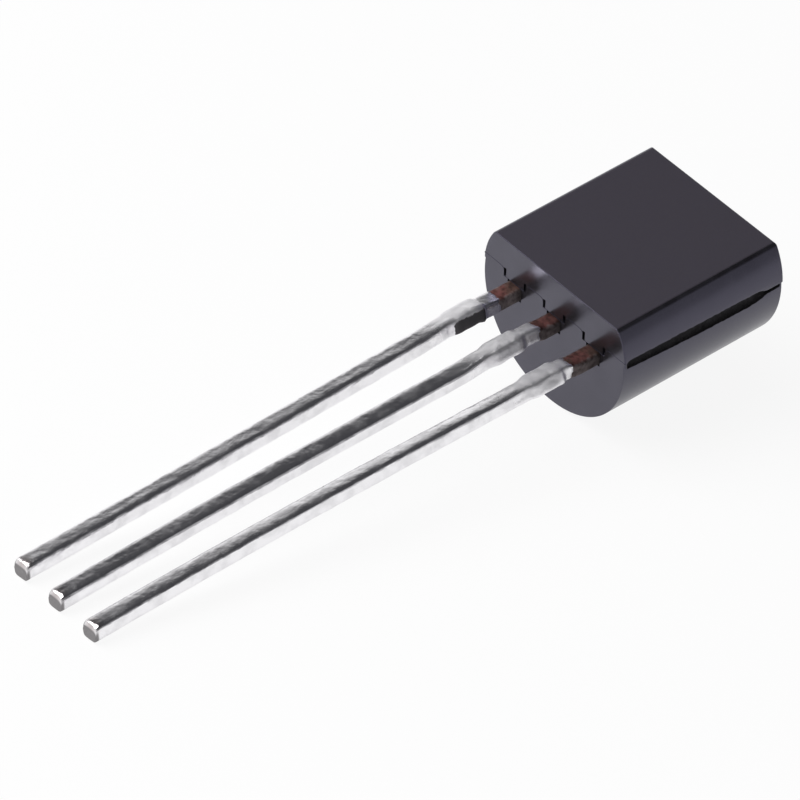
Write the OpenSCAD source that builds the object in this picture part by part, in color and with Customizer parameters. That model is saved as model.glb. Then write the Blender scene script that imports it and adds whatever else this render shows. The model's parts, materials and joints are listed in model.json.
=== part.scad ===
// Through-hole transistor in a D-shaped moulded package with three flat leads.
// It lies on its round back, as it comes to rest: on the lower edge of its lead end and on the lead tips.

/* [Body] */
// Width of the moulded body at its parting line
body_width = 4.56; // [4.4:0.01:5.2]
// Width of the flat front face
flat_width = 4.12; // [3.6:0.01:4.3]
// Length of the body along the leads
body_length = 4.46; // [4.3:0.01:5.3]
// Depth of the body from the flat front to the back of the curve
body_depth = 3.39; // [3.2:0.01:4]
// Depth of the parting line behind the flat front
parting_depth = 0.92; // [0.75:0.01:0.95]
// Radius on the long edges of the flat front
edge_radius = 0.2; // [0.04:0.01:0.3]
// Radius on the short edges of the flat front
end_radius = 0.05; // [0.02:0.01:0.12]
// How far the front half stands out past the back half along the parting line
parting_step = 0.04; // [0.02:0.01:0.1]

/* [Trim grooves] */
// Height of the groove that trimming left along the parting line on each side
groove_height = 0.28; // [0.12:0.01:0.4]
// Depth of the groove below the round of the back half
groove_depth = 0.07; // [0.04:0.01:0.15]
// Distance of the groove's round ends from the ends of the body
groove_margin = 0.06; // [0.03:0.01:0.3]

/* [Lead exits] */
// How far the front half stops short of the back half at the lead end
exit_step = 0.03; // [0.02:0.01:0.12]
// Height of the back half's tongues above the parting line
tongue_rise = 0.15; // [0.1:0.01:0.36]
// Radius on the upper corners of the tongues
tongue_radius = 0.11; // [0.04:0.01:0.2]
// Room between a lead and the tongue beside it
tongue_margin = 0.13; // [0.1:0.01:0.2]
// Width of the slit between each tongue and the front half's foot over the lead
slit_width = 0.07; // [0.03:0.01:0.09]
// Depth of the slits into the front half
slit_depth = 0.12; // [0.05:0.01:0.3]

/* [Gate scar] */
// Width of the scar left by the mould gate on the closed end
gate_width = 1; // [0.6:0.05:1.6]
// Height of the gate scar
gate_height = 0.3; // [0.2:0.01:0.5]
// How far the gate scar stands out of the closed end
gate_stand = 0.04; // [0.02:0.01:0.1]

/* [Leads] */
// Distance between the leads at the body
lead_spacing = 1.27; // [1.15:0.01:1.4]
// Distance between the leads at their tips
tip_spacing = 1.13; // [1:0.01:2.6]
// How far the row of tips is bent to the side
tip_lean = 0.11; // [-0.5:0.01:0.5]
// Width of a lead across the row
lead_width = 0.45; // [0.38:0.01:0.55]
// Thickness of the lead strip
lead_thickness = 0.38; // [0.3:0.01:0.45]
// Length of the leads outside the body
lead_length = 13.41; // [12.7:0.01:15.5]
// Depth of the leads' front faces behind the flat front
lead_depth = 1; // [0.95:0.01:1.2]
// Distance from the body to the cut tie bar
stub_start = 0.95; // [0.6:0.05:1.5]
// Length of the cut tie bar's stubs along the lead
stub_length = 1.05; // [0.5:0.05:1.5]
// How far each stub stands out at the side of its lead
stub_stand = 0.08; // [0.04:0.01:0.15]
// Chamfer on the corners of the sheared tips
tip_chamfer = 0.08; // [0.02:0.01:0.15]

/* [Lead frame inside] */
// Length of lead inside the body before it widens into a post or the paddle
root_length = 1; // [0.8:0.05:1.3]
// Width of the bonding posts
post_width = 0.7; // [0.55:0.01:0.75]
// Length of the bonding posts
post_length = 1.6; // [1:0.05:2.2]
// Width of the die paddle
paddle_width = 1.3; // [1:0.05:1.4]
// Length of the die paddle
paddle_length = 2.5; // [1.6:0.05:2.8]

/* [Die and wires] */
// Side of the square die
die_side = 0.5; // [0.3:0.01:0.8]
// Thickness of the die
die_thickness = 0.2; // [0.1:0.01:0.3]
// Thickness of the layer that fixes the die
attach_thickness = 0.02; // [0.01:0.005:0.05]
// How far that layer shows round the die
attach_margin = 0.04; // [0.01:0.01:0.08]
// Distance of each bond pad from the middle of the die
pad_offset = 0.13; // [0.08:0.01:0.14]
// Diameter of the bond wires
wire_diameter = 0.05; // [0.03:0.005:0.06]
// Height of a wire's loop above the line between its ends
loop_height = 0.3; // [0.15:0.01:0.4]

/* [Hidden] */
$fn = 64;

EMITTER = -1;
COLLECTOR = 0;
BASE = 1;
LEADS = [EMITTER, COLLECTOR, BASE];

// Reach of a cutting block past the surface that it cuts
past = 1;
// Straight pieces in a rounded edge
edge_facets = 6;

back_radius = body_width / 2 - parting_step;
back_axis = body_depth - back_radius;
side_draft = atan2((body_width - flat_width) / 2, parting_depth);
lead_back = lead_depth + lead_thickness;
stub_end = stub_start + stub_length;
gap_half = lead_width / 2 + tongue_margin;
groove_floor = back_radius - groove_depth;
tongue_corner = min(tongue_radius, 0.8 * tongue_rise);
die_level = -lead_depth + attach_thickness;
die_place = root_length + paddle_length / 2;
post_place = root_length + post_length / 2;
bond_diameter = 2.2 * wire_diameter;
bond_height = 1.2 * wire_diameter;

// The package tips towards its leads until their tips touch the surface that it lies on.
rest_tilt = atan2(body_depth - lead_back, lead_length);
rest_far = body_length * cos(rest_tilt) + body_depth * sin(rest_tilt);
rest_near = lead_depth * sin(rest_tilt) - lead_length * cos(rest_tilt);

function arc(centre, radius, from, to) = [
    for (i = [0:edge_facets])
        let (angle = from + (to - from) * i / edge_facets)
            centre + radius * [cos(angle), sin(angle)]
];

function lead_place(lead) = lead * lead_spacing;
function tip_place(lead) = lead * tip_spacing + tip_lean;
function flipped(points) = [for (i = [len(points) - 1:-1:0]) points[i]];

module laid_down() {
    translate([0, -(rest_far + rest_near) / 2, body_depth * cos(rest_tilt)])
        rotate([rest_tilt, 0, 0])
            children();
}

// Extrudes an outline drawn across the body, from one distance behind the lead end to another.
module along_body(from, to) {
    translate([0, to, 0])
        rotate([90, 0, 0])
            linear_extrude(to - from)
                children();
}

// Outline of the front half across the body, with the flat's long edges rounded.
module front_outline() {
    corner = flat_width / 2 - edge_radius * (1 - sin(side_draft)) / cos(side_draft);
    right = arc([corner, -edge_radius], edge_radius, side_draft, 90);
    left = arc([-corner, -edge_radius], edge_radius, 90, 180 - side_draft);
    polygon(concat(
        [[body_width / 2, -parting_depth]],
        right,
        left,
        [[-body_width / 2, -parting_depth]]
    ));
}

// Outline of the front half seen from the side, with the flat's short edges rounded.
module front_side_outline() {
    closed_end = arc([body_length - end_radius, -end_radius], end_radius, 0, 90);
    lead_end = arc([exit_step + end_radius, -end_radius], end_radius, 90, 180);
    polygon(concat(
        [[body_length, -parting_depth]],
        closed_end,
        lead_end,
        [[exit_step, -parting_depth]]
    ));
}

module front_half() {
    intersection() {
        along_body(0, body_length)
            front_outline();
        rotate([90, 0, 90])
            linear_extrude(body_width + 2 * past, center = true)
                front_side_outline();
    }
}

// The round back below the parting line.
module back_half() {
    intersection() {
        translate([0, body_length, -back_axis])
            rotate([90, 0, 0])
                cylinder(r = back_radius, h = body_length);
        translate([-body_width, 0, -body_depth - past])
            cube([2 * body_width, body_length, body_depth + past - parting_depth]);
    }
}

// The groove that trimming the flash left along the parting line on one side. side is 1 or -1.
module trim_groove(side) {
    ends = [groove_margin + groove_height / 2, body_length - groove_margin - groove_height / 2];
    translate([side * (groove_floor + past / 2), 0, -parting_depth])
        rotate([90, 0, 90])
            linear_extrude(past, center = true) {
                for (end = ends)
                    translate([end, 0])
                        circle(d = groove_height);
                translate([ends[0], -groove_height / 2])
                    square([ends[1] - ends[0], groove_height]);
            }
}

// One tongue of the back half at the lead end, between two places across the body.
module tongue(from, to) {
    top = tongue_rise - parting_depth;
    right = arc([to - tongue_corner, top - tongue_corner], tongue_corner, 0, 90);
    left = arc([from + tongue_corner, top - tongue_corner], tongue_corner, 90, 180);
    polygon(concat([[to, -parting_depth]], right, left, [[from, -parting_depth]]));
}

module tongues() {
    along_body(0, exit_step)
        intersection() {
            front_outline();
            union() {
                tongue(-body_width, lead_place(EMITTER) - gap_half);
                tongue(lead_place(EMITTER) + gap_half, lead_place(COLLECTOR) - gap_half);
                tongue(lead_place(COLLECTOR) + gap_half, lead_place(BASE) - gap_half);
                tongue(lead_place(BASE) + gap_half, body_width);
            }
        }
}

// The gap between two tongues over one lead. The front half's foot fills it to just short of the tongues' faces,
// and leaves a slit along each tongue.
module tongue_gap(lead) {
    height = lead_depth - parting_depth + tongue_rise;
    translate([lead_place(lead), -past, -lead_depth]) {
        translate([-gap_half, 0, 0])
            cube([2 * gap_half, past + exit_step, height]);
        for (side = [-1, 1])
            translate([side * (gap_half - slit_width / 2) - slit_width / 2, 0, 0])
                cube([slit_width, past + exit_step + slit_depth, height]);
    }
}

module gate_scar() {
    translate([-gate_width / 2, body_length, -parting_depth])
        cube([gate_width, gate_stand, gate_height]);
}

module moulding() {
    difference() {
        union() {
            front_half();
            back_half();
            tongues();
            gate_scar();
        }
        for (lead = LEADS)
            tongue_gap(lead);
        for (side = [-1, 1])
            trim_groove(side);
    }
}

// One side of a lead's plan, from its tip to its head inside the body. side is 1 or -1.
function lead_edge(lead, side, head_width, head_length) = [
    [tip_place(lead) + side * (lead_width / 2 - tip_chamfer), -lead_length],
    [tip_place(lead) + side * lead_width / 2, tip_chamfer - lead_length],
    [lead_place(lead) + side * lead_width / 2, -stub_end],
    [lead_place(lead) + side * (lead_width / 2 + stub_stand), -stub_end],
    [lead_place(lead) + side * (lead_width / 2 + stub_stand), -stub_start],
    [lead_place(lead) + side * lead_width / 2, -stub_start],
    [lead_place(lead) + side * lead_width / 2, root_length],
    [lead_place(lead) + side * head_width / 2, root_length],
    [lead_place(lead) + side * head_width / 2, root_length + head_length]
];

// A lead stamped from flat strip, with its post or paddle inside the body.
module lead_blank(lead, head_width, head_length) {
    translate([0, 0, -lead_back])
        linear_extrude(lead_thickness)
            polygon(concat(
                lead_edge(lead, 1, head_width, head_length),
                flipped(lead_edge(lead, -1, head_width, head_length))
            ));
}

module post_blank(lead) {
    lead_blank(lead, post_width, post_length);
}

module paddle_blank() {
    lead_blank(COLLECTOR, paddle_width, paddle_length);
}

module attach_blank() {
    side = die_side + 2 * attach_margin;
    translate([-side / 2, die_place - side / 2, -lead_depth])
        cube([side, side, attach_thickness]);
}

module die_blank() {
    translate([-die_side / 2, die_place - die_side / 2, die_level])
        cube([die_side, die_side, die_thickness]);
}

// The foot of a wire on a bond surface.
module bond_foot(place) {
    translate(place)
        cylinder(d = bond_diameter, h = bond_height);
}

// A wire looped from its pad on the die to the post of its lead.
module wire_blank(lead) {
    pad = [lead * pad_offset, die_place, die_level + die_thickness];
    landing = [lead_place(lead), post_place, -lead_depth];
    reach = landing - pad;
    run = norm([reach.x, reach.y]);
    chord = norm([run, reach.z]);
    radius = (chord * chord / 4 + loop_height * loop_height) / (2 * loop_height);
    half_turn = acos((radius - loop_height) / radius);
    slope = atan2(reach.z, run);
    bond_foot(pad);
    bond_foot(landing);
    translate(pad + [0, 0, bond_height / 2])
        rotate([0, 0, atan2(reach.y, reach.x)])
            rotate([90, 0, 0])
                rotate([0, 0, slope])
                    translate([chord / 2, loop_height - radius])
                        rotate([0, 0, 90 - half_turn])
                            rotate_extrude(angle = 2 * half_turn)
                                translate([radius, 0])
                                    circle(d = wire_diameter);
}

module epoxy_body() {
    color([0.17, 0.16, 0.18])
        laid_down()
            difference() {
                moulding();
                post_blank(EMITTER);
                paddle_blank();
                post_blank(BASE);
                attach_blank();
                die_blank();
                wire_blank(EMITTER);
                wire_blank(BASE);
            }
}

module emitter_lead() {
    color([0.76, 0.75, 0.77])
        laid_down()
            post_blank(EMITTER);
}

module collector_lead() {
    color([0.76, 0.75, 0.77])
        laid_down()
            paddle_blank();
}

module base_lead() {
    color([0.76, 0.75, 0.77])
        laid_down()
            post_blank(BASE);
}

module silicon_die() {
    color([0.35, 0.37, 0.42])
        laid_down()
            die_blank();
}

module die_attach() {
    color([0.62, 0.61, 0.58])
        laid_down()
            attach_blank();
}

module base_bond_wire() {
    color([0.85, 0.68, 0.28])
        laid_down()
            wire_blank(BASE);
}

module emitter_bond_wire() {
    color([0.85, 0.68, 0.28])
        laid_down()
            wire_blank(EMITTER);
}

epoxy_body();
emitter_lead();
collector_lead();
base_lead();
silicon_die();
die_attach();
base_bond_wire();
emitter_bond_wire();
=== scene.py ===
import json
import math

import bmesh
import bpy
from mathutils import Matrix, Vector, noise


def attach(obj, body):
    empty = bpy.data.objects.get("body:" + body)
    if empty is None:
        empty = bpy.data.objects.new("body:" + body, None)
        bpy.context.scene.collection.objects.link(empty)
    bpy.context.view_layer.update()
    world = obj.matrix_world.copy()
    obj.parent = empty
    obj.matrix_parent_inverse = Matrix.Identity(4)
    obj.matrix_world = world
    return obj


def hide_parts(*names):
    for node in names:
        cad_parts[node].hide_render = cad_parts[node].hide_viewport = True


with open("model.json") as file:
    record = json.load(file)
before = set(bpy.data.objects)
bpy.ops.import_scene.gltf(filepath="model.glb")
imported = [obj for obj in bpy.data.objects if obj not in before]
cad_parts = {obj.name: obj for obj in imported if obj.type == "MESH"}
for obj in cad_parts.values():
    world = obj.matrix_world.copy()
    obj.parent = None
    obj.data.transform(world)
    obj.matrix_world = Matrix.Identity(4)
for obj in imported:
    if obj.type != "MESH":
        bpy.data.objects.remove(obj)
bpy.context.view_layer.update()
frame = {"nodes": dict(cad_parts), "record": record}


# Leads
# Three flat strips stamped from copper sheet, held in a row by a tie bar that was cut off after moulding.
# They were dipped in tin to a little short of the body, so each keeps a bare copper root there, and their
# heads, two bonding posts and the die paddle, are held by the moulding.
mm = 0.001
body_length = 4.46
exit_step = 0.03
flat_front = next(mount for mount in frame["record"]["mounts"] if mount["name"] == "flat_front")
rest_tilt = math.atan2(-flat_front["axis"][1], flat_front["axis"][2])
rest_turn = Matrix.Rotation(rest_tilt, 4, "X")
flat_middle = rest_turn @ Vector((0, (exit_step + body_length) / 2 * mm, 0))
rest_place = Vector(flat_front["pos_m"]) - flat_middle
# Pieces are drawn in millimetres in the package's own frame: the flat front is at z = 0, the body starts at
# y = 0 and the leads run towards -y. This matrix lays them down as the part rests, in metres.
laid_down = Matrix.Translation(rest_place) @ rest_turn @ Matrix.Scale(mm, 4)
upright = laid_down.inverted()


def own_box(node):
    """Lowest and highest corner of a CAD node in the package's own frame."""
    corners = [upright @ vertex.co for vertex in frame["nodes"][node].data.vertices]
    return Vector(map(min, *corners)), Vector(map(max, *corners))


def put(tree, kind, inputs=None, **settings):
    """Adds a node to a tree and sets or links its inputs, which are given by name or number."""
    node = tree.nodes.new(kind)
    for name, value in settings.items():
        setattr(node, name, value)
    for name, value in (inputs or {}).items():
        if isinstance(value, bpy.types.NodeSocket):
            tree.links.new(value, node.inputs[name])
        else:
            node.inputs[name].default_value = value
    return node


def calc(tree, operation, *values):
    """The result of one Math node on numbers or sockets."""
    return put(tree, "ShaderNodeMath", dict(enumerate(values)), operation=operation).outputs[0]


def fade(tree, value, start, end):
    """A smooth rise from 0 to 1 while a value goes from start to end."""
    inputs = {"Value": value, "From Min": start, "From Max": end}
    return put(tree, "ShaderNodeMapRange", inputs, interpolation_type="SMOOTHSTEP").outputs["Result"]


def blend(tree, share, low, high):
    """A number that goes from low to high as share goes from 0 to 1."""
    inputs = {"Value": share, "To Min": low, "To Max": high}
    return put(tree, "ShaderNodeMapRange", inputs).outputs["Result"]


def mix_colours(tree, share, first, second):
    """A colour that goes from the first to the second as share goes from 0 to 1."""
    mix = put(tree, "ShaderNodeMix", data_type="RGBA")
    for socket, value in zip((mix.inputs[0], mix.inputs[6], mix.inputs[7]), (share, first, second)):
        if isinstance(value, bpy.types.NodeSocket):
            tree.links.new(value, socket)
        else:
            socket.default_value = value
    return mix.outputs[2]


def new_tree(name, kind, inputs, outputs):
    """A node tree with named inputs and outputs, with the sockets inside it that carry them."""
    tree = bpy.data.node_groups.new(name, kind)
    for label, socket in inputs.items():
        tree.interface.new_socket(label, in_out="INPUT", socket_type=socket)
    for label, socket in outputs.items():
        tree.interface.new_socket(label, in_out="OUTPUT", socket_type=socket)
    return tree, tree.nodes.new("NodeGroupInput").outputs, tree.nodes.new("NodeGroupOutput").inputs


def made_by(tree, name, values):
    """A plain mesh object that a geometry tree makes from these inputs, laid down with the part."""
    piece = bpy.data.objects.new(name, bpy.data.meshes.new(name))
    bpy.context.scene.collection.objects.link(piece)
    modifier = piece.modifiers.new(tree.name, "NODES")
    modifier.node_group = tree
    for socket in tree.interface.items_tree:
        if socket.in_out == "INPUT":
            modifier[socket.identifier] = values[socket.name]
    graph = bpy.context.evaluated_depsgraph_get()
    shaped = piece.evaluated_get(graph)
    mesh = bpy.data.meshes.new_from_object(shaped, preserve_all_data_layers=True, depsgraph=graph)
    piece.modifiers.clear()
    piece.data = mesh
    mesh.transform(laid_down)
    return piece


def lead_tree():
    """Sweeps a strip from its tip to its head, then adds the stub, the tin coat and the sheared tip."""
    # Rings along the lead, closer together towards its tip, and points round its section
    ring_count = 440
    ring_crowding = 1.3
    corner_facets = 4
    face_cuts = 4
    # Where along the lead its own twist comes in, and how gently the stub and the turn there begin and end
    twist_start = 0.3
    twist_end = 1.3
    stub_slope = 0.12
    stub_end_slope = 0.3
    turned_start = 0.3
    turned_past = 0.8
    turned_slope = 1.3
    # Where a stub was cut, as shares of the lead's width and of the stub's rise
    cut_side = (0.3, 0.45)
    cut_rise = (0.2, 0.7)
    # How the tin and the copper short of it change near the body, and the strip and its stain near the tip
    root_shade = 0.35
    tin_slope = 0.05
    tin_edge_wander = 0.3
    tip_reach = 0.15
    tip_narrowing = 0.16
    tip_droop = 0.42
    stain_reach = (0.35, 0.1)
    # Ripples are drawn out along the lead, and beads are round.
    ripple_stretch = (1.0, 0.35, 1.0)
    ripple_scale = 6.0
    bead_scale = 4.0
    sizes = ["Root X", "Tip X", "Bow", "Tip Y", "Head Y", "Head End", "Level",
             "Width", "Head Width", "Thickness", "Corner", "Crown",
             "Twist", "Tip Twist", "Stub Twist", "Stub Twist Start",
             "Stub Start", "Stub End", "Stub Stand", "Stub Cut",
             "Tin Start", "Tin", "Tarnish", "Ripples", "Beads", "Seed"]
    inputs = dict.fromkeys(sizes, "NodeSocketFloat") | {"Material": "NodeSocketMaterial"}
    tree, given, result = new_tree("stamped_lead", "GeometryNodeTree", inputs, {"Lead": "NodeSocketGeometry"})

    # Each value here holds at any point of the lead, by its distance out from the body.
    place = put(tree, "GeometryNodeInputPosition").outputs[0]
    x, y, z = put(tree, "ShaderNodeSeparateXYZ", {0: place}).outputs
    out = calc(tree, "MULTIPLY", y, -1.0)
    tip_out = calc(tree, "MULTIPLY", given["Tip Y"], -1.0)
    reach = put(tree, "ShaderNodeMapRange", {
        "Value": out, "From Min": given["Stub End"], "From Max": tip_out}).outputs["Result"]
    bowed = calc(tree, "MULTIPLY", calc(tree, "MULTIPLY", reach, calc(tree, "SUBTRACT", 1.0, reach)), 4.0)
    aimed = blend(tree, reach, given["Root X"], given["Tip X"])
    middle = calc(tree, "MULTIPLY_ADD", bowed, given["Bow"], aimed)
    stub, turned = (
        calc(tree, "MULTIPLY",
             fade(tree, out, given[start], calc(tree, "ADD", given[start], rise)),
             fade(tree, out, calc(tree, "ADD", given["Stub End"], past),
                  calc(tree, "ADD", given["Stub End"], past - slope)))
        for start, rise, past, slope in (("Stub Start", stub_slope, 0.0, stub_end_slope),
                                         ("Stub Twist Start", turned_start, turned_past, turned_slope)))
    twist = calc(tree, "MULTIPLY", blend(tree, reach, given["Twist"], given["Tip Twist"]),
                 fade(tree, out, twist_start, twist_end))
    twist = calc(tree, "MULTIPLY_ADD", given["Stub Twist"], turned, twist)
    sunk = calc(tree, "MULTIPLY", calc(tree, "ABSOLUTE", calc(tree, "SINE", twist)), given["Width"])
    sunk = calc(tree, "MULTIPLY_ADD", calc(tree, "SUBTRACT", calc(tree, "COSINE", twist), 1.0),
                given["Thickness"], sunk)

    # The strip's middle line is spaced out and bent, and its section with round corners is swept along it.
    line = put(tree, "GeometryNodeCurvePrimitiveLine", {"End": (0.0, 1.0, 0.0)}).outputs[0]
    steps = put(tree, "GeometryNodeResampleCurve", {"Curve": line, "Count": ring_count}).outputs[0]
    ring_y = put(tree, "ShaderNodeMapRange", {
        "Value": calc(tree, "POWER", y, ring_crowding),
        "To Min": given["Tip Y"], "To Max": given["Head End"]}).outputs["Result"]
    straight = put(tree, "ShaderNodeCombineXYZ", {"Y": ring_y, "Z": given["Level"]}).outputs[0]
    spaced = put(tree, "GeometryNodeSetPosition", {"Geometry": steps, "Position": straight}).outputs[0]
    bend = put(tree, "ShaderNodeCombineXYZ", {"X": middle, "Z": calc(tree, "MULTIPLY", sunk, 0.5)}).outputs[0]
    bent = put(tree, "GeometryNodeSetPosition", {"Geometry": spaced, "Offset": bend}).outputs[0]
    level = put(tree, "GeometryNodeSetCurveNormal", {"Curve": bent}, mode="Z_UP").outputs[0]
    tilt = calc(tree, "MULTIPLY", twist, -1.0)
    twisted = put(tree, "GeometryNodeSetCurveTilt", {"Curve": level, "Tilt": tilt}).outputs[0]
    section = put(tree, "GeometryNodeCurvePrimitiveQuadrilateral",
                  {"Width": given["Width"], "Height": given["Thickness"]}).outputs[0]
    rounded = put(tree, "GeometryNodeFilletCurve",
                  {"Curve": section, "Radius": given["Corner"], "Count": corner_facets},
                  mode="POLY").outputs[0]
    rounded = put(tree, "GeometryNodeSubdivideCurve", {"Curve": rounded, "Cuts": face_cuts}).outputs[0]
    across = calc(tree, "DIVIDE", calc(tree, "MULTIPLY", x, 2.0), given["Width"])
    upward = calc(tree, "DIVIDE", calc(tree, "MULTIPLY", y, -2.0), given["Thickness"])
    fall = calc(tree, "MULTIPLY", calc(tree, "MULTIPLY", across, across),
                calc(tree, "MULTIPLY", upward, given["Crown"]))
    crown = put(tree, "ShaderNodeCombineXYZ", {"Y": fall}).outputs[0]
    crowned = put(tree, "GeometryNodeSetPosition", {"Geometry": rounded, "Offset": crown}).outputs[0]
    strip = put(tree, "GeometryNodeCurveToMesh",
                {"Curve": twisted, "Profile Curve": crowned, "Fill Caps": True}).outputs[0]

    # How uneven the tin is, and where it starts
    stretched = put(tree, "ShaderNodeVectorMath",
                    {0: place, 1: ripple_stretch}, operation="MULTIPLY").outputs[0]
    ripple = put(tree, "ShaderNodeTexNoise",
                 {"Vector": stretched, "W": given["Seed"], "Scale": ripple_scale, "Detail": 2.0},
                 noise_dimensions="4D").outputs["Fac"]
    ripple = calc(tree, "SUBTRACT", ripple, 0.5)
    bead = put(tree, "ShaderNodeTexNoise",
               {"Vector": place, "W": given["Seed"], "Scale": bead_scale, "Detail": 1.0},
               noise_dimensions="4D").outputs["Fac"]
    bead = calc(tree, "MULTIPLY", calc(tree, "SUBTRACT", bead, 0.5), stub)
    tin = fade(tree, calc(tree, "MULTIPLY_ADD", ripple, tin_edge_wander, out),
               calc(tree, "SUBTRACT", given["Tin Start"], tin_slope), given["Tin Start"])

    # The swept strip widens at its stub and its head, and narrows and droops at its tip.
    beside = calc(tree, "SUBTRACT", x, middle)
    above = calc(tree, "SUBTRACT", z, calc(tree, "MULTIPLY_ADD", given["Thickness"], -0.5, given["Level"]))
    head = calc(tree, "GREATER_THAN", y, given["Head Y"])
    head_step = calc(tree, "MULTIPLY", calc(tree, "SUBTRACT", given["Head Width"], given["Width"]), 0.5)
    step = calc(tree, "MULTIPLY_ADD", stub, given["Stub Stand"], calc(tree, "MULTIPLY", head, head_step))
    widening = calc(tree, "DIVIDE", calc(tree, "MULTIPLY", step, 2.0), given["Width"])
    to_tip = calc(tree, "SUBTRACT", 1.0, put(tree, "ShaderNodeMapRange", {
        "Value": calc(tree, "SUBTRACT", tip_out, out), "From Max": tip_reach}).outputs["Result"])
    nose = calc(tree, "SQRT", calc(tree, "SUBTRACT", 1.0, calc(tree, "MULTIPLY", to_tip, to_tip)))
    nose = calc(tree, "SUBTRACT", 1.0, nose)
    widening = calc(tree, "MULTIPLY_ADD", nose, -tip_narrowing, widening)
    shift = put(tree, "ShaderNodeCombineXYZ", {
        "X": calc(tree, "MULTIPLY", beside, widening),
        "Z": calc(tree, "MULTIPLY", calc(tree, "MULTIPLY", nose, above), -tip_droop)}).outputs[0]

    # The tin swells it, and the material gets a mask for each finish, and one for the copper's tarnish and
    # its painted shade near the body.
    ripples = calc(tree, "MULTIPLY", given["Ripples"], calc(tree, "SUBTRACT", 1.0, to_tip))
    coat = calc(tree, "MULTIPLY_ADD", ripple, ripples, given["Tin"])
    coat = calc(tree, "MULTIPLY", tin, calc(tree, "MULTIPLY_ADD", bead, given["Beads"], coat))
    outward = put(tree, "GeometryNodeInputNormal").outputs[0]
    swell = put(tree, "ShaderNodeVectorMath", {0: outward, "Scale": coat}, operation="SCALE").outputs[0]
    shift = put(tree, "ShaderNodeVectorMath", {0: shift, 1: swell}).outputs[0]
    cut = fade(tree, beside, *(calc(tree, "MULTIPLY", given["Width"], share) for share in cut_side))
    cut = calc(tree, "MULTIPLY", calc(tree, "MULTIPLY", cut, fade(tree, stub, *cut_rise)), given["Stub Cut"])
    off_middle = calc(tree, "DIVIDE", calc(tree, "MULTIPLY", beside, 2.0), given["Width"])
    crest = calc(tree, "SUBTRACT", 1.0, calc(tree, "MULTIPLY", off_middle, off_middle))
    half_thick = calc(tree, "MULTIPLY", given["Thickness"], 0.5)
    crest = calc(tree, "MULTIPLY", crest, fade(tree, above, half_thick, given["Thickness"]))
    # Painted shade: the copper darkens towards the body, on top of each lead's tarnish.
    bare_and_unshaded = calc(tree, "MULTIPLY", calc(tree, "SUBTRACT", 1.0, given["Tarnish"]),
                fade(tree, out, -root_shade, root_shade))
    stain = calc(tree, "MULTIPLY", crest, fade(tree, calc(tree, "SUBTRACT", tip_out, out), *stain_reach))
    handled = calc(tree, "MAXIMUM", stub, turned)
    masks = {"tin": tin, "shear": nose, "cut": cut, "crest": crest, "bare_and_unshaded": bare_and_unshaded, "stain": stain,
             "stub": handled}
    formed = strip
    for mask, value in masks.items():
        formed = put(tree, "GeometryNodeStoreNamedAttribute",
                     {"Geometry": formed, "Name": mask, "Value": value}).outputs[0]
    formed = put(tree, "GeometryNodeSetPosition", {"Geometry": formed, "Offset": shift}).outputs[0]
    smooth = put(tree, "GeometryNodeSetShadeSmooth", {"Geometry": formed}).outputs[0]
    real = put(tree, "GeometryNodeRealizeInstances", {"Geometry": smooth}).outputs[0]
    finished = put(tree, "GeometryNodeSetMaterial",
                   {"Geometry": real, "Material": given["Material"]}).outputs[0]
    tree.links.new(finished, result["Lead"])
    return tree


def grain_group():
    """Fine and broad unevenness of a surface, both about 0.5, for any material here."""
    inputs = {"Place": "NodeSocketVector", "Fine Scale": "NodeSocketFloat", "Broad Scale": "NodeSocketFloat"}
    outputs = {"Fine": "NodeSocketFloat", "Broad": "NodeSocketFloat"}
    tree, given, result = new_tree("surface_grain", "ShaderNodeTree", inputs, outputs)
    detail = {"Fine": 3.0, "Broad": 4.0}
    for output in outputs:
        pattern = put(tree, "ShaderNodeTexNoise", {
            "Vector": given["Place"], "Scale": given[output + " Scale"], "Detail": detail[output]})
        tree.links.new(pattern.outputs["Fac"], result[output])
    return tree


surface_grain = grain_group()


def own_place(tree):
    """Object coordinates turned back to the package's own frame, in millimetres."""
    place, turn, scale = upright.decompose()
    where = put(tree, "ShaderNodeTexCoord").outputs["Object"]
    inputs = {"Vector": where, "Location": place, "Rotation": turn.to_euler(), "Scale": scale}
    return put(tree, "ShaderNodeMapping", inputs).outputs[0]


def grained(tree, place, fine, broad):
    """Places the surface grain in a material and returns its fine and broad values."""
    group = put(tree, "ShaderNodeGroup", node_tree=surface_grain)
    tree.links.new(place, group.inputs["Place"])
    group.inputs["Fine Scale"].default_value = fine
    group.inputs["Broad Scale"].default_value = broad
    return group.outputs["Fine"], group.outputs["Broad"]


def bumped(tree, height, depth):
    """A normal from a height pattern that is this many millimetres deep."""
    inputs = {"Height": height, "Strength": 1.0, "Distance": depth * mm}
    return put(tree, "ShaderNodeBump", inputs).outputs["Normal"]


def new_material(name):
    """An empty material with its node tree and its Principled shader."""
    material = bpy.data.materials.new(name)
    material.use_nodes = True
    return material, material.node_tree, material.node_tree.nodes["Principled BSDF"].inputs


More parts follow.
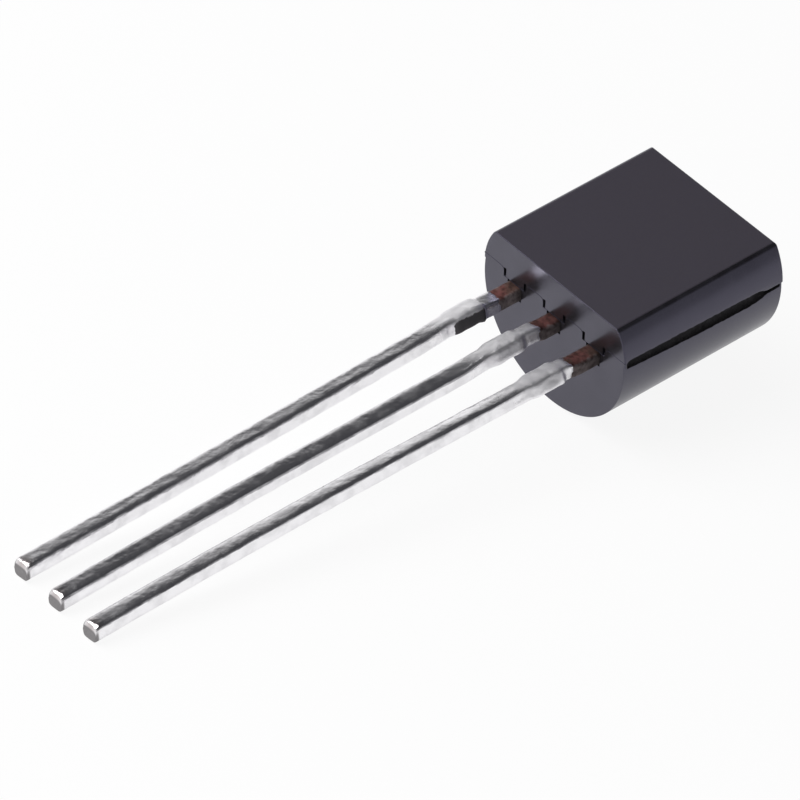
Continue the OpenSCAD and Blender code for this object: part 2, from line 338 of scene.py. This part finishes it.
def tinned_copper():
    """Dipped tin with soft ripples and dull patches, tarnished copper short of it with painted shading on its
    sides and painted shade near the body, and dull sheared ends.
    """
    tin_colour = (0.92, 0.91, 0.93, 1)
    dull_tin = (0.82, 0.81, 0.83, 1)
    sheared_tin = (0.24, 0.23, 0.235, 1)
    torn_metal = (0.11, 0.105, 0.11, 1)
    red_copper = (0.26, 0.112, 0.104, 1)
    brown_copper = (0.2, 0.118, 0.1, 1)
    # A greyer colour for the copper's sides, as painted shading against its lit top
    painted_side_copper = (0.27, 0.23, 0.23, 1)
    dark_copper = (0.025, 0.019, 0.016, 1)
    fine_scale = 9.0
    broad_scale = 2.6
    # The low and the high end of a pattern or mask at which each finish takes over, and how its edge wanders
    tin_edge = (0.4, 0.6)
    tin_wander = 0.8
    off_crest = (0.0, 0.3)
    sheared_end = (0.5, 0.75)
    sheared_below = (0.05, 0.25)
    cut_edge = (0.35, 0.6)
    dull_patches = (0.4, 0.65)
    brown_patches = (0.42, 0.6)
    lit_top = (0.1, 0.7)
    wander = 1.2
    blotches = (0.38, 0.7)
    blotch_share = 0.6
    stain_share = 0.5
    tin_roughness = (0.17, 0.26)
    copper_dullness = 0.55
    torn_dullness = 0.25
    stub_dullness = 0.25
    grain_depth = 0.008
    material, tree, surface = new_material("tinned_copper")
    fine, broad = grained(tree, own_place(tree), fine_scale, broad_scale)
    tin, shear, cut, crest, bare_and_unshaded, stain, stub = (
        put(tree, "ShaderNodeAttribute", attribute_name=mask).outputs["Fac"]
        for mask in ("tin", "shear", "cut", "crest", "bare_and_unshaded", "stain", "stub"))
    uneven = calc(tree, "SUBTRACT", fine, 0.5)
    tin = fade(tree, calc(tree, "MULTIPLY_ADD", uneven, tin_wander, tin), *tin_edge)
    below = calc(tree, "SUBTRACT", 1.0, fade(tree, crest, *off_crest))
    shear = calc(tree, "MAXIMUM", fade(tree, shear, *sheared_end),
                 calc(tree, "MULTIPLY", fade(tree, shear, *sheared_below), below))
    cut = fade(tree, calc(tree, "MULTIPLY_ADD", uneven, wander, cut), *cut_edge)
    dull = fade(tree, broad, *dull_patches)

    copper = mix_colours(tree, fade(tree, broad, *brown_patches), red_copper, brown_copper)
    # Painted shading: the copper's lit top and its sides get different colours for how the light falls on
    # them.
    lit = fade(tree, calc(tree, "MULTIPLY_ADD", uneven, wander, crest), *lit_top)
    copper = mix_colours(tree, lit, painted_side_copper, copper)
    blotch = calc(tree, "MULTIPLY", fade(tree, fine, *blotches), blotch_share)
    copper = mix_colours(tree, blotch, copper, dark_copper)
    # The copper goes dark by each lead's tarnish and by painted shade near the body.
    copper = mix_colours(tree, bare_and_unshaded, dark_copper, copper)
    coat = mix_colours(tree, dull, tin_colour, dull_tin)
    coat = mix_colours(tree, calc(tree, "MULTIPLY", stain, stain_share), coat, brown_copper)
    coat = mix_colours(tree, cut, mix_colours(tree, shear, coat, sheared_tin), torn_metal)
    tree.links.new(mix_colours(tree, tin, copper, coat), surface["Base Color"])

    roughness = blend(tree, dull, *tin_roughness)
    duller = (
        (calc(tree, "SUBTRACT", 1.0, tin), copper_dullness),
        (calc(tree, "MAXIMUM", shear, cut), torn_dullness),
        (calc(tree, "MULTIPLY", stub, tin), stub_dullness),
    )
    for share, dullness in duller:
        roughness = calc(tree, "MULTIPLY_ADD", share, dullness, roughness)
    tree.links.new(roughness, surface["Roughness"])
    surface["Metallic"].default_value = 1.0
    tree.links.new(bumped(tree, fine, grain_depth), surface["Normal"])
    return material


lead_low, lead_high = own_box("emitter_lead")
tin_coat = 0.012
lead_width = 0.45
lead_spacing = 1.27
tip_spacing = 1.13
tip_lean = 0.11
root_length = 1.0
stub_start = 0.95
stub_end = 2.0
middle_seed = 3.0
strip = {
    "Tip Y": lead_low.y + tin_coat,
    "Head Y": root_length,
    "Level": (lead_low.z + lead_high.z) / 2,
    "Width": lead_width - 2 * tin_coat,
    "Thickness": lead_high.z - lead_low.z - 2 * tin_coat,
    "Stub Start": stub_start,
    "Stub End": stub_end,
    "Stub Stand": 0.06,
    "Tin": tin_coat,
    "Ripples": 0.03,
    "Beads": 0.03,
    "Material": tinned_copper(),
}
# What differs from lead to lead: the head, how far the strip bows aside, where the tin starts, how dark the
# copper short of it is, how round the corners are and how far the tin stands up along the middle, how far the
# strip was twisted along its length and at its stub when the tie bar was cut off, and if that bared its side
leads = (
    {"node": "emitter_lead", "place": -1, "Head Width": 0.7, "Bow": 0.02, "Tin Start": 0.6, "Tarnish": 0.0,
     "Corner": 0.085, "Crown": 0.0, "Twist": math.radians(8.5), "Tip Twist": math.radians(8.5),
     "Stub Twist": math.radians(15), "Stub Twist Start": stub_start, "Stub Cut": 1.0},
    {"node": "collector_lead", "place": 0, "Head Width": 1.3, "Bow": -0.05, "Tin Start": 0.58, "Tarnish": 0.3,
     "Corner": 0.09, "Crown": 0.014, "Twist": math.radians(2), "Tip Twist": math.radians(5),
     "Stub Twist": math.radians(22), "Stub Twist Start": 0.35, "Stub Cut": 0.0},
    {"node": "base_lead", "place": 1, "Head Width": 0.7, "Bow": -0.06, "Tin Start": 0.8, "Tarnish": 0.35,
     "Corner": 0.07, "Crown": 0.018, "Twist": math.radians(18), "Tip Twist": math.radians(8),
     "Stub Twist": math.radians(7), "Stub Twist Start": 0.6, "Stub Cut": 0.0},
)
stamped_lead = lead_tree()
for lead in leads:
    piece = made_by(stamped_lead, "tinned_" + lead["node"], strip | lead | {
        "Root X": lead["place"] * lead_spacing,
        "Tip X": lead["place"] * tip_spacing + tip_lean,
        "Head End": own_box(lead["node"])[1].y,
        "Seed": middle_seed + lead["place"],
    })
    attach(piece, "root")
    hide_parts(lead["node"])


# Die, its fixing and the bond wires
# A sawn silicon chip, polished on top, is stuck to the paddle with a grey silver-filled paste, and two drawn
# wires are bonded from its pads to the posts. The moulding closes over them, so they keep their plain forms.
def inner_material(name, colours, roughness, metallic, fine_scale, broad_scale):
    """A material for a piece inside the body, mottled between two colours."""
    mottles = (0.35, 0.65)
    grain_depth = 0.002
    material, tree, surface = new_material(name)
    fine, broad = grained(tree, own_place(tree), fine_scale, broad_scale)
    tree.links.new(mix_colours(tree, fade(tree, broad, *mottles), *colours), surface["Base Color"])
    tree.links.new(blend(tree, fine, *roughness), surface["Roughness"])
    tree.links.new(bumped(tree, fine, grain_depth), surface["Normal"])
    surface["Metallic"].default_value = metallic
    return material


silicon = inner_material("polished_silicon", colours=((0.11, 0.12, 0.15, 1), (0.15, 0.16, 0.2, 1)),
                         roughness=(0.1, 0.25), metallic=0.6, fine_scale=30, broad_scale=6)
paste = inner_material("silver_paste", colours=((0.42, 0.41, 0.39, 1), (0.52, 0.51, 0.48, 1)),
                       roughness=(0.5, 0.75), metallic=0.4, fine_scale=60, broad_scale=12)
gold = inner_material("bond_wire", colours=((0.83, 0.62, 0.24, 1), (0.88, 0.7, 0.32, 1)),
                      roughness=(0.15, 0.3), metallic=1.0, fine_scale=50, broad_scale=10)
inner_finishes = {
    "die_attach": paste,
    "silicon_die": silicon,
    "base_bond_wire": gold,
    "emitter_bond_wire": gold,
}
for node, finish in inner_finishes.items():
    frame["nodes"][node].data.materials.clear()
    frame["nodes"][node].data.materials.append(finish)


# Body
# One moulding of black filled epoxy, pressed round the leads by two mould halves, its flat front matte from
# an etched mould face. Trimming the flash left a rough groove along the parting line on each side. Tongues of
# the back half stand beside the leads, and the front half's feet come down over the leads between them.
body_low, body_high = own_box("epoxy_body")
half_width = body_high.x
body_depth = -body_low.z
parting_depth = 0.92
long_edge_radius = 0.15
short_edge_radius = 0.018
far_edge_radius = 0.06
front_start = 0.006
lip_radius = 0.03
plan_radius = 0.03
parting_step = 0.04
back_radius = half_width - parting_step
back_axis = body_depth - back_radius
back_end_radius = front_start
# The side walls lean in from the parting line to the flat's rounded edges in one slow curve.
wall_foot_tilt = math.radians(2)
wall_top_tilt = math.radians(31)
wall_height = parting_depth - long_edge_radius * (1 - math.sin(wall_top_tilt))
wall_radius = wall_height / (math.sin(wall_top_tilt) - math.sin(wall_foot_tilt))
wall_axis = half_width - wall_radius * math.cos(wall_foot_tilt)
wall_axis_level = -parting_depth - wall_radius * math.sin(wall_foot_tilt)


def stacked(name, rings):
    """A closed mesh object through rings of points, with a flat face on its first and last ring."""
    count = len(rings[0])
    faces = []
    for ring in range(len(rings) - 1):
        for i in range(count):
            j = (i + 1) % count
            first = ring * count
            faces.append((first + i, first + j, first + count + j, first + count + i))
    last = (len(rings) - 1) * count
    faces.append(range(count))
    faces.append(range(last, last + count))
    mesh = bpy.data.meshes.new(name)
    mesh.from_pydata([point for ring in rings for point in ring], [], faces)
    shape = bmesh.new()
    shape.from_mesh(mesh)
    bmesh.ops.recalc_face_normals(shape, faces=shape.faces)
    shape.to_mesh(mesh)
    shape.free()
    piece = bpy.data.objects.new(name, mesh)
    bpy.context.scene.collection.objects.link(piece)
    return piece


def ragged(place, seed, scale):
    """An uneven number about 0 along an edge, always the same for the same place."""
    smoothness = 0.6
    octave_ratio = 2.0
    octaves = 3
    return noise.fractal(Vector((place * scale, seed, 0.0)), smoothness, octave_ratio, octaves)


def arc(centre, radius, start, end, steps):
    """Points along an arc in a plane, from one angle to another, in degrees."""
    points = []
    for i in range(steps + 1):
        angle = math.radians(start + (end - start) * i / steps)
        points.append((centre[0] + radius * math.cos(angle), centre[1] + radius * math.sin(angle)))
    return points


def plan_ring(level, half, near, far):
    """A rectangle across the body with small round corners, at one level."""
    corner_steps = 6
    corners = (
        (half - plan_radius, far - plan_radius, 0),
        (-half + plan_radius, far - plan_radius, 90),
        (-half + plan_radius, near + plan_radius, 180),
        (half - plan_radius, near + plan_radius, 270),
    )
    ring = []
    for x, y, turn in corners:
        ring += [(px, py, level) for px, py in arc((x, y), plan_radius, turn, turn + 90, corner_steps)]
    return ring


def rounded_by(radius, depth):
    """How far an edge of this radius lies inside its face at a depth below the next face."""
    short = max(0.0, radius - depth)
    return radius - math.sqrt(radius * radius - short * short)


def wall_half(level):
    """Half of the body's width across its curved side walls, at one level."""
    return wall_axis + math.sqrt(wall_radius ** 2 - (level - wall_axis_level) ** 2)


def front_half():
    """The front half: levels from the lip at the parting line, up its walls, to the round-edged flat."""
    lip_steps = 4
    wall_steps = 16
    edge_steps = 14
    rings = []
    for step in range(lip_steps):
        angle = math.pi / 2 * step / lip_steps
        level = -parting_depth + lip_radius * (1 - math.cos(angle))
        inset = lip_radius * (1 - math.sin(angle))
        rings.append(plan_ring(level, wall_half(level) - inset, front_start, body_length - inset))
    for step in range(wall_steps):
        level = -parting_depth + lip_radius + (wall_height - lip_radius) * step / wall_steps
        rings.append(plan_ring(level, wall_half(level), front_start, body_length))
    corner = wall_half(wall_height - parting_depth) - long_edge_radius * math.cos(wall_top_tilt)
    for step in range(edge_steps + 1):
        angle = wall_top_tilt + (math.pi / 2 - wall_top_tilt) * step / edge_steps
        level = long_edge_radius * (math.sin(angle) - 1)
        half = corner + long_edge_radius * math.cos(angle)
        near = front_start + rounded_by(short_edge_radius, -level)
        far = body_length - rounded_by(far_edge_radius, -level)
        rings.append(plan_ring(level, half, near, far))
    return stacked("front_half", rings)


lead_top = lead_high.z
tongue_margin = 0.13
gap_half = lead_width / 2 + tongue_margin
tongue_rise = 0.15
tongue_top = -parting_depth + tongue_rise
tongue_radius = 0.11
halves_overlap = 0.02
join_level = -parting_depth + halves_overlap


def back_ring(y, inset, tongue_share, gap_share):
    """The back half's outline at one place along the body, with a share of its tongues and of their gaps."""
    round_steps = 96
    corner_steps = 6
    radius = back_radius - inset
    rim = math.degrees(math.asin((join_level + back_axis) / radius))
    top = tongue_top
    side = wall_half(top) - inset
    floor = join_level + (lead_top - join_level) * gap_share
    tongues = [(side, top)]
    for place in (lead_spacing, 0, -lead_spacing):
        right = place + gap_half + inset
        left = place - gap_half - inset
        tongues += arc((right + tongue_radius, top - tongue_radius), tongue_radius, 90, 180, corner_steps)
        tongues += [(right, floor), (left, floor)]
        tongues += arc((left - tongue_radius, top - tongue_radius), tongue_radius, 0, 90, corner_steps)
    tongues.append((-side, top))
    outline = arc((0, -back_axis), radius, -180 - rim, rim, round_steps)
    for x, z in tongues:
        share = tongue_share if z > join_level else 1
        outline.append((x, join_level + (z - join_level) * share))
    return [(x, y, z) for x, z in outline]


def back_half():
    """The round back with the tongues that stand up beside and between the leads, its end edges rounded."""
    steps = 4
    turns = []
    for step in range(steps + 1):
        angle = math.pi / 2 * step / steps
        turns.append((back_end_radius * (1 - math.cos(angle)), back_end_radius * (1 - math.sin(angle))))
    # A tongue runs on into the front half. There, and in its gaps, only a small share of its height is left.
    wall = 0.001
    run_on = 0.03
    tongue_end = exit_step + run_on
    sunk = 0.05
    rings = [back_ring(y, inset, 1, 1) for y, inset in turns]
    rings.append(back_ring(front_start + wall, 0, 1, sunk))
    rings.append(back_ring(tongue_end, 0, 1, sunk))
    rings.append(back_ring(tongue_end + wall, 0, sunk, sunk))
    rings += [back_ring(body_length - y, inset, sunk, sunk) for y, inset in reversed(turns)]
    return stacked("back_half", rings)


def trimmed_groove(side, start, seed):
    """What the trimming took from one side: a shallow torn slot that sinks and narrows along the body."""
    steps = 110
    end_margin = 0.05
    end_reach = 0.12
    end_opening = 0.1
    # Its upper and lower edges, from the parting line, and how they run down along the body
    upper = 0.19
    upper_fall = 0.1
    lower = 0.04
    lower_fall = 0.17
    lower_sag = 0.18
    # Where it thins to a crack near the closed end, as shares of its length and of its height
    thin_from = 0.84
    thin_reach = 0.08
    far_thinning = 0.55
    # How deep it is, how its floor meets the edges, and how torn each of them is
    depth = 0.075
    upper_lip = 0.02
    floor_inset = 0.3
    lower_lip = 0.03
    lower_flare = 0.06
    near_tear = 0.4
    upper_tear = 0.012
    lower_tear = 0.02
    floor_tear = 0.03
    upper_grain = 7.0
    lower_grain = 5.0
    floor_grain = 6.0
    past = 0.1
    end = body_length - end_margin
    floor = back_radius - depth
    outside = half_width + past
    rings = []
    for step in range(steps + 1):
        share = step / steps
        y = start + (end - start) * share
        high = -parting_depth + upper - upper_fall * share
        low = -parting_depth - lower - lower_fall * share - lower_sag * share * (1 - share)
        from_end = min(1.0, end_opening + min(y - start, end - y) / end_reach)
        middle = (high + low) / 2
        half = (high - low) / 2 * math.sqrt(1 - (1 - from_end) ** 2)
        thin = min(1.0, max(0.0, (share - thin_from) / thin_reach))
        half *= 1 - far_thinning * thin * thin * (3 - 2 * thin)
        torn = near_tear + (1 - near_tear) * share + thin
        high = middle + half + upper_tear * ragged(y, seed, upper_grain)
        low = middle - half + lower_tear * torn * ragged(y, seed + 2, lower_grain)
        depths = [floor + floor_tear * torn * ragged(y, seed + 4 + row, floor_grain) for row in range(3)]
        outline = [
            (outside, high + upper_lip),
            (depths[0] + upper_lip, high),
            (depths[1], middle + half * floor_inset),
            (depths[2], low + half * floor_inset),
            (back_radius - lower_lip, low),
            (outside, low - lower_flare),
        ]
        rings.append([(side * x, y, z) for x, z in outline])
    return stacked("trimmed_groove", rings)


def block(name, low, high):
    """A plain block between two corners, to cut or join with."""
    rings = [[(low[0], low[1], z), (high[0], low[1], z), (high[0], high[1], z), (low[0], high[1], z)]
             for z in (low[2], high[2])]
    return stacked(name, rings)


def cad_copy(node):
    """A joined-up copy of a CAD node in the package's own frame, to cut its seat in the body."""
    same_point = 1e-5
    shape = bmesh.new()
    shape.from_mesh(frame["nodes"][node].data)
    bmesh.ops.transform(shape, matrix=upright, verts=shape.verts)
    bmesh.ops.remove_doubles(shape, verts=shape.verts, dist=same_point)
    mesh = bpy.data.meshes.new(node + "_seat")
    shape.to_mesh(mesh)
    shape.free()
    piece = bpy.data.objects.new(mesh.name, mesh)
    bpy.context.scene.collection.objects.link(piece)
    return piece


def settled(piece):
    """Turns a piece's modifiers into its plain mesh."""
    graph = bpy.context.evaluated_depsgraph_get()
    mesh = bpy.data.meshes.new_from_object(piece.evaluated_get(graph), preserve_all_data_layers=True,
                                           depsgraph=graph)
    piece.modifiers.clear()
    piece.data = mesh


def combine(piece, operation, tools):
    """Joins tools to a piece or cuts them out of it, with the materials they have, and removes them."""
    for tool in tools:
        modifier = piece.modifiers.new(tool.name, "BOOLEAN")
        modifier.operation = operation
        modifier.solver = "EXACT"
        modifier.material_mode = "TRANSFER"
        modifier.object = tool
    settled(piece)
    for tool in tools:
        bpy.data.objects.remove(tool)


def black_epoxy():
    """Black epoxy: an etched matte flat front, and glossy walls, ends and back."""
    black = (0.009, 0.0083, 0.0088, 1)
    worn_black = (0.016, 0.0155, 0.018, 1)
    etched_black = (0.0175, 0.014, 0.0135, 1)
    violet_sheen = (0.65, 0.62, 0.88, 1)
    fine_scale = 26.0
    broad_scale = 1.8
    etched_level = (-0.009, -0.001)
    etched_dullness = 0.4
    etched_grain = 0.8
    glossy_grain = 0.15
    worn_patches = (0.35, 0.7)
    gloss = (0.18, 0.28)
    grain_depth = 0.0025
    material, tree, surface = new_material("black_epoxy")
    place = own_place(tree)
    level = put(tree, "ShaderNodeSeparateXYZ", {0: place}).outputs["Z"]
    fine, broad = grained(tree, place, fine_scale, broad_scale)
    flat = fade(tree, level, *etched_level)
    colour = mix_colours(tree, fade(tree, broad, *worn_patches), black, worn_black)
    tree.links.new(mix_colours(tree, flat, colour, etched_black), surface["Base Color"])
    roughness = calc(tree, "MULTIPLY_ADD", flat, etched_dullness, blend(tree, broad, *gloss))
    tree.links.new(roughness, surface["Roughness"])
    grain = calc(tree, "MULTIPLY_ADD", flat, etched_grain, glossy_grain)
    height = calc(tree, "MULTIPLY_ADD", fine, grain, broad)
    tree.links.new(bumped(tree, height, grain_depth), surface["Normal"])
    surface["IOR"].default_value = 1.84
    surface["Specular Tint"].default_value = violet_sheen
    return material


def torn_epoxy():
    """The same epoxy where it was torn: rough, porous and darker."""
    dark = (0.01, 0.0095, 0.011, 1)
    dusty = (0.02, 0.019, 0.022, 1)
    fine_scale = 18.0
    broad_scale = 5.0
    dusty_patches = (0.4, 0.7)
    torn_roughness = (0.6, 0.9)
    pore_depth = 0.03
    material, tree, surface = new_material("torn_epoxy")
    fine, broad = grained(tree, own_place(tree), fine_scale, broad_scale)
    tree.links.new(mix_colours(tree, fade(tree, broad, *dusty_patches), dark, dusty), surface["Base Color"])
    tree.links.new(blend(tree, fine, *torn_roughness), surface["Roughness"])
    tree.links.new(bumped(tree, fine, pore_depth), surface["Normal"])
    surface["Specular IOR Level"].default_value = 0.15
    return material


body = front_half()
body.name = "moulded_body"
body.data.materials.append(black_epoxy())
# The gate's scar stands on the closed end, above the parting line.
gate_half = 0.5
gate_height = 0.3
gate_stand = 0.04
gate_root = 0.1
gate = block("gate", (-gate_half, body_length - gate_root, -parting_depth),
             (gate_half, body_length + gate_stand, -parting_depth + gate_height))
combine(body, "UNION", [back_half(), gate])
# A slit on each side of a lead parts the tongues from the front half's foot.
slit_width = 0.07
slit_depth = 0.12
slit_sink = 0.005
before_end = -1
slits = []
for lead in leads:
    for side in (-1, 1):
        middle = lead["place"] * lead_spacing + side * (gap_half - slit_width / 2)
        low = (middle - slit_width / 2, before_end, lead_top - slit_sink)
        high = (middle + slit_width / 2, exit_step + slit_depth, tongue_top)
        slits.append(block("slit", low, high))
grooves = [trimmed_groove(side=1, start=0.05, seed=2.2), trimmed_groove(side=-1, start=0.3, seed=8.4)]
torn = torn_epoxy()
for groove in grooves:
    groove.data.materials.append(torn)
seats = [cad_copy(node) for node in [lead["node"] for lead in leads] + list(inner_finishes)]
combine(body, "DIFFERENCE", slits + grooves + seats)
sharp_from = math.radians(35)
for face in body.data.polygons:
    face.use_smooth = True
body.data.set_sharp_from_angle(angle=sharp_from)
evened = body.modifiers.new("evened", "WEIGHTED_NORMAL")
evened.keep_sharp = True
settled(body)
body.data.transform(laid_down)
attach(body, "root")
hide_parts("epoxy_body")


# Table
# A plain white matte surface that the part lies on. It shows white to the camera and in the glossy finishes,
# and still takes the part's soft shadow.
def white_table():
    """Matte white that shows as white, less the part's shadow."""
    white = (1, 1, 1, 1)
    matte_white = (0.94, 0.94, 0.94, 1)
    bright_white = (0.97, 0.97, 0.97, 1)
    shown_white = 0.9
    mirrored_white = 0.7
    fine_scale = 400.0
    broad_scale = 20.0
    material, tree, _ = new_material("white_table")
    tree.nodes.remove(tree.nodes["Principled BSDF"])
    where = put(tree, "ShaderNodeTexCoord").outputs["Object"]
    _, broad = grained(tree, where, fine_scale, broad_scale)
    tone = mix_colours(tree, broad, matte_white, bright_white)
    matte = put(tree, "ShaderNodeBsdfDiffuse", {"Color": tone}).outputs[0]
    shown = put(tree, "ShaderNodeEmission", {"Color": white, "Strength": 1.0}).outputs[0]
    rays = put(tree, "ShaderNodeLightPath").outputs
    mirrored = calc(tree, "MAXIMUM", rays["Is Glossy Ray"], rays["Is Transmission Ray"])
    share = calc(tree, "MULTIPLY_ADD", mirrored, mirrored_white,
                 calc(tree, "MULTIPLY", rays["Is Camera Ray"], shown_white))
    mixed = put(tree, "ShaderNodeMixShader", {0: share, 1: matte, 2: shown}).outputs[0]
    tree.links.new(mixed, tree.nodes["Material Output"].inputs["Surface"])
    return material


table_reach = 2.0
table_sides = 64
table_rim = [(math.cos(turn) * table_reach, math.sin(turn) * table_reach, 0.0)
             for turn in (math.pi * 2 * i / table_sides for i in range(table_sides))]
table_mesh = bpy.data.meshes.new("table")
table_mesh.from_pydata(table_rim, [], [range(table_sides)])
table = bpy.data.objects.new("table", table_mesh)
table_mesh.materials.append(white_table())
bpy.context.scene.collection.objects.link(table)


# Light
# One soft box above the part, to the front and left of it, in a room that is pale low down, less so to the
# right, and dark overhead. The bright tin shows the room, so the tops of the leads go from dark to white as
# they turn.
def soft_box(name, towards, distance, size, radiance):
    """A square area lamp of even brightness that faces the part."""
    lamp = bpy.data.lights.new(name, "AREA")
    lamp.size = size
    lamp.energy = radiance * math.pi * size * size
    light = bpy.data.objects.new(name, lamp)
    direction = Vector(towards).normalized()
    light.location = direction * distance
    light.rotation_euler = direction.to_track_quat("Z", "Y").to_euler()
    bpy.context.scene.collection.objects.link(light)


soft_box("main_light", towards=(-0.4, -0.5, 0.76), distance=0.13, size=0.12, radiance=4.2)

pale_left = (1, 1, 1, 1)
pale_right = (0.5, 0.5, 0.51, 1)
dark_above = (0.05, 0.05, 0.055, 1)
left_to_right = (-0.1, 0.5)
low_to_high = (0.15, 0.72)
world = bpy.data.worlds.new("room")
world.use_nodes = True
bpy.context.scene.world = world
room = world.node_tree
direction = put(room, "ShaderNodeTexCoord").outputs["Generated"]
rightward, _, height = put(room, "ShaderNodeSeparateXYZ", {0: direction}).outputs
pale = mix_colours(room, fade(room, rightward, *left_to_right), pale_left, pale_right)
tone = mix_colours(room, fade(room, height, *low_to_high), pale, dark_above)
room.links.new(tone, room.nodes["Background"].inputs["Color"])


# Camera
# A long lens, far off, that looks down on the flat front from the lead end and the right. Its place is in the
# package's own frame, in millimetres: round a pivot on the leads, then aside in the picture.
view_azimuth = math.radians(48.7514)
view_elevation = math.radians(42.929)
view_roll = math.radians(2.0305)
view_distance = 150
view_pivot = Vector((0, -4.5, -1.2))
view_offset = (0.2158, 0.2713)
back = Vector((math.sin(view_azimuth) * math.cos(view_elevation),
               -math.cos(view_azimuth) * math.cos(view_elevation), math.sin(view_elevation)))
level_right = Vector((math.cos(view_azimuth), math.sin(view_azimuth), 0))
level_up = back.cross(level_right)
right = level_right * math.cos(view_roll) + level_up * math.sin(view_roll)
up = level_up * math.cos(view_roll) - level_right * math.sin(view_roll)
eye = view_pivot + back * view_distance + right * view_offset[0] + up * view_offset[1]
axes = Matrix((right, up, back)).transposed()
camera_data = bpy.data.cameras.new("camera")
camera_data.sensor_width = 36
camera_data.lens = 324.416
camera_data.clip_start = 0.01
camera_data.clip_end = 5
camera = bpy.data.objects.new("camera", camera_data)
camera.matrix_world = Matrix.Translation(laid_down @ eye) @ (rest_turn.to_3x3() @ axes).to_4x4()
bpy.context.scene.collection.objects.link(camera)
bpy.context.scene.camera = camera
bpy.context.scene.view_settings.view_transform = "Standard"
